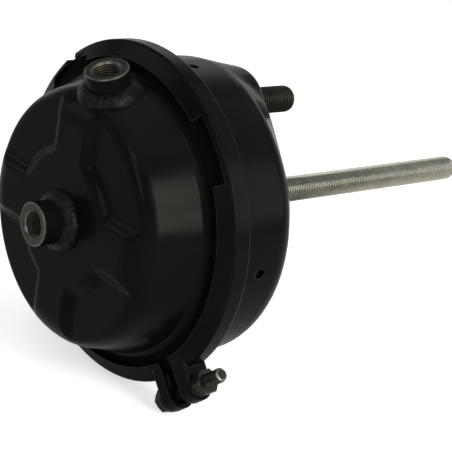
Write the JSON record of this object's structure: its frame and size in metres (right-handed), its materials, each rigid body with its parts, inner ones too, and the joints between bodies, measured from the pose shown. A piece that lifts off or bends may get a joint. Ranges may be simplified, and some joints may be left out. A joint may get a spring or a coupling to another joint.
{
  "type": "air brake chamber",
  "caption": "Pressed-steel diaphragm brake chamber with a V-section clamp band, welded air ports, mounting studs and a long threaded pushrod that slides out under air pressure.",
  "frame": {"origin": "centre of the mounting face, midway between the studs, on the pushrod's axis", "axes": "+X along the pushrod, out of the mounting face; +Z towards the upper stud and the upper air port"},
  "size_m": [0.346, 0.1955, 0.1944],
  "materials": {
    "black_paint": "semi-gloss black paint over pressed steel",
    "machined_steel": "turned, bare faces and threads",
    "dark_steel": "black oxide, slightly oily",
    "zinc_steel": "bright zinc plate",
    "spring_steel": "coated spring wire",
    "rubber": "matt moulded rubber",
    "guide_plastic": "moulded nylon"
  },
  "bodies": {
    "chamber": {"pressure_cover": "black_paint", "rear_housing": "black_paint", "clamp_band": "black_paint", "centre_port_weld": "black_paint", "top_port_weld": "black_paint", "centre_port_boss": "machined_steel", "top_port_boss": "machined_steel", "clamp_bolt": "dark_steel", "clamp_washer": "dark_steel", "clamp_nut": "dark_steel", "upper_stud": "dark_steel", "lower_stud": "dark_steel", "spring_seat": "zinc_steel", "stiffener_plate": "zinc_steel", "return_spring": "spring_steel", "diaphragm": "rubber", "rod_seal": "rubber", "rod_guide": "guide_plastic"},
    "rod": {"push_plate": "zinc_steel", "pushrod": "zinc_steel", "pushrod_weld": "zinc_steel"}
  },
  "joints": [
    {"name": "rod_slide", "type": "slide", "parent": "chamber", "child": "rod", "axis": [1, 0, 0], "range_m": [0, 0.057], "stiffness_N_per_m": 2500, "springref_m": -0.06, "deforming": ["diaphragm", "return_spring"]}
  ]
}
